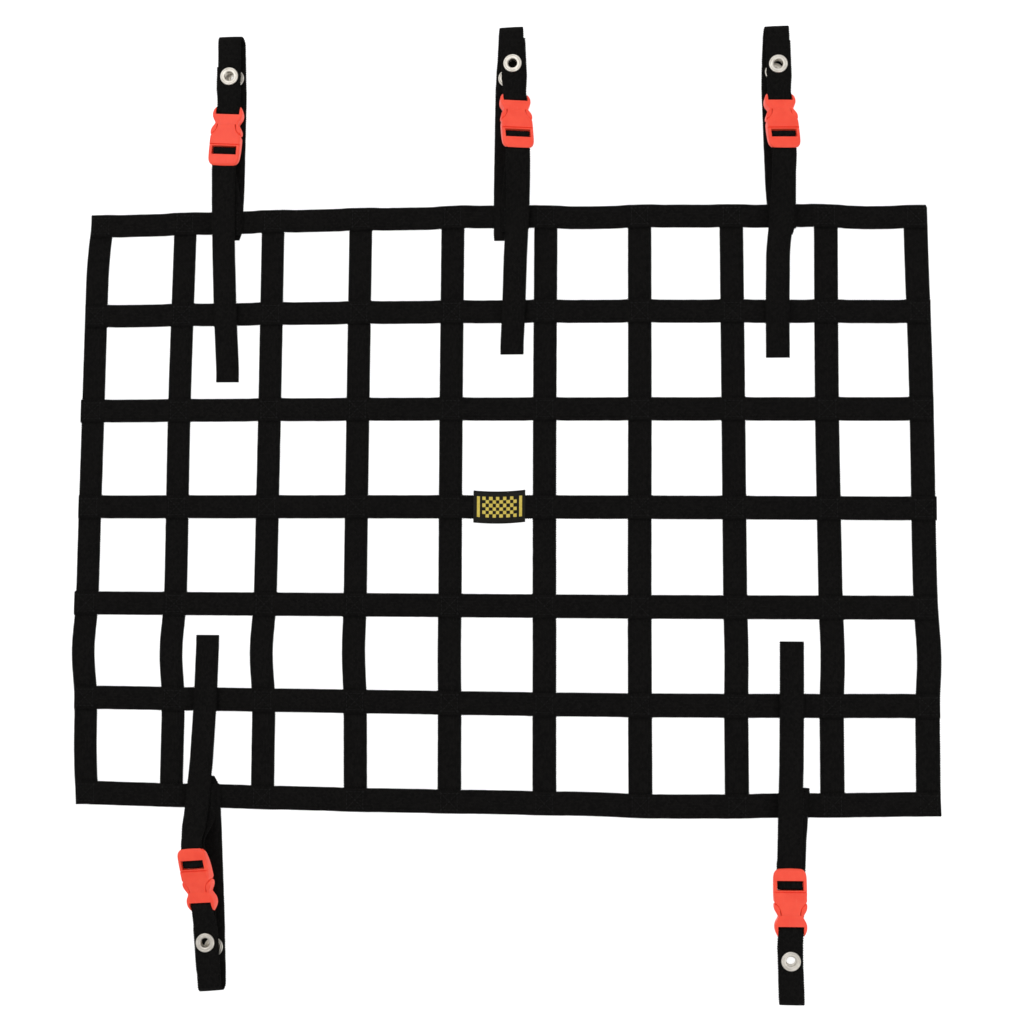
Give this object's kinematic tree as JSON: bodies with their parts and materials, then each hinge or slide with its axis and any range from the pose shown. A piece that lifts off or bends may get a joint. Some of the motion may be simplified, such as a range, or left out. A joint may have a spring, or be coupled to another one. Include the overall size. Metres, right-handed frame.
{
  "type": "window net",
  "caption": "Flat net of sewn webbing straps with buckled mounting loops and metal eyelets, to close a car's side window opening.",
  "frame": {"origin": "on the surface that the net lies on, under the middle of the middle cross strap", "axes": "+X along the long edge, to the right with the label up and upright; +Y up the net, across the cross straps; +Z out of the label's face, away from the surface"},
  "size_m": [0.7097, 0.794, 0.0302],
  "materials": {
    "webbing": "flat-woven black polyester webbing, dull",
    "buckle": "moulded red-orange plastic, satin",
    "eyelet": "nickel-plated, polished",
    "label": "woven black label with a yellow thread pattern"
  },
  "bodies": {
    "root": {"upright_1": "webbing", "upright_2": "webbing", "upright_3": "webbing", "upright_4": "webbing", "upright_5": "webbing", "upright_6": "webbing", "upright_7": "webbing", "upright_8": "webbing", "upright_9": "webbing", "upright_10": "webbing", "crossbar_1": "webbing", "crossbar_2": "webbing", "crossbar_3": "webbing", "crossbar_4": "webbing", "crossbar_5": "webbing", "crossbar_6": "webbing", "crossbar_7": "webbing", "label": "label", "loop_strap_top_left": "webbing", "adjuster_strap_top_left": "webbing", "buckle_socket_top_left": "buckle", "buckle_plug_top_left": "buckle", "eyelet_front_top_left": "eyelet", "eyelet_back_top_left": "eyelet", "loop_strap_top_middle": "webbing", "adjuster_strap_top_middle": "webbing", "buckle_socket_top_middle": "buckle", "buckle_plug_top_middle": "buckle", "eyelet_front_top_middle": "eyelet", "eyelet_back_top_middle": "eyelet", "loop_strap_top_right": "webbing", "adjuster_strap_top_right": "webbing", "buckle_socket_top_right": "buckle", "buckle_plug_top_right": "buckle", "eyelet_front_top_right": "eyelet", "eyelet_back_top_right": "eyelet", "loop_strap_bottom_left": "webbing", "adjuster_strap_bottom_left": "webbing", "buckle_socket_bottom_left": "buckle", "buckle_plug_bottom_left": "buckle", "eyelet_front_bottom_left": "eyelet", "eyelet_back_bottom_left": "eyelet", "loop_strap_bottom_right": "webbing", "adjuster_strap_bottom_right": "webbing", "buckle_socket_bottom_right": "buckle", "buckle_plug_bottom_right": "buckle", "eyelet_front_bottom_right": "eyelet", "eyelet_back_bottom_right": "eyelet"}
  },
  "joints": []
}
